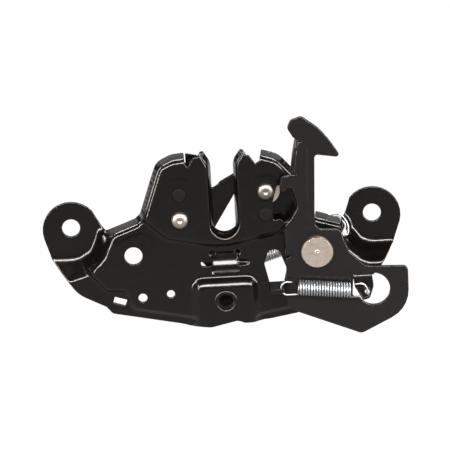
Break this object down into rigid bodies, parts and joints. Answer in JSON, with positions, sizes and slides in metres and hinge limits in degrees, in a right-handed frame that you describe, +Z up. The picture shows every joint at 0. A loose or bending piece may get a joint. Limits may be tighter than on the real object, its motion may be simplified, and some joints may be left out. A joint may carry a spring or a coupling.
{
  "type": "bonnet latch",
  "caption": "Car bonnet latch: pressed black base plate with bolt ears and striker slot, spring loaded fork and pawl behind it, and a hooked safety lever with extension spring in front.",
  "frame": {"origin": "midway between the two ear bolt holes, on the back face of the ears", "axes": "+X to the right seen from the front, +Z up, -Y to the front"},
  "size_m": [0.1817, 0.0296, 0.113],
  "materials": {
    "black_coat": "satin black dip coat",
    "dark_steel": "dark phosphated steel",
    "nickel": "bright plated steel",
    "zinc": "zinc plated wire"
  },
  "bodies": {
    "frame": {"base_plate": "black_coat", "back_plate": "black_coat", "fork_bush": "nickel", "pawl_bush": "nickel", "fork_spacer": "nickel", "pawl_spacer": "nickel", "fork_pivot_rivet": "nickel", "pawl_pivot_rivet": "nickel", "lever_bush": "nickel", "lever_washer": "nickel", "lever_pivot_rivet": "nickel", "weld_nut": "zinc", "lever_spring": "zinc", "fork_spring": "zinc", "pawl_spring": "zinc"},
    "fork": {"latch_fork": "dark_steel"},
    "pawl": {"pawl": "dark_steel"},
    "lever": {"safety_lever": "black_coat"}
  },
  "joints": [
    {"name": "fork_pivot", "type": "hinge", "parent": "frame", "child": "fork", "pos_m": [-0.0208, -0.006, 0.0046], "axis": [0, 1, 0], "range_deg": [0, 63], "stiffness_Nm_per_rad": 0.2, "springref_deg": -28.65, "deforming": ["fork_spring"]},
    {"name": "pawl_pivot", "type": "hinge", "parent": "frame", "child": "pawl", "pos_m": [0.0228, -0.006, 0.0173], "axis": [0, 1, 0], "range_deg": [-6, 7], "stiffness_Nm_per_rad": 0.2, "deforming": ["pawl_spring"]},
    {"name": "lever_pivot", "type": "hinge", "parent": "frame", "child": "lever", "pos_m": [0.047, -0.0197, -0.0136], "axis": [0, -1, 0], "range_deg": [0, 18], "stiffness_Nm_per_rad": 0.5, "springref_deg": -22.92, "deforming": ["lever_spring"]}
  ]
}
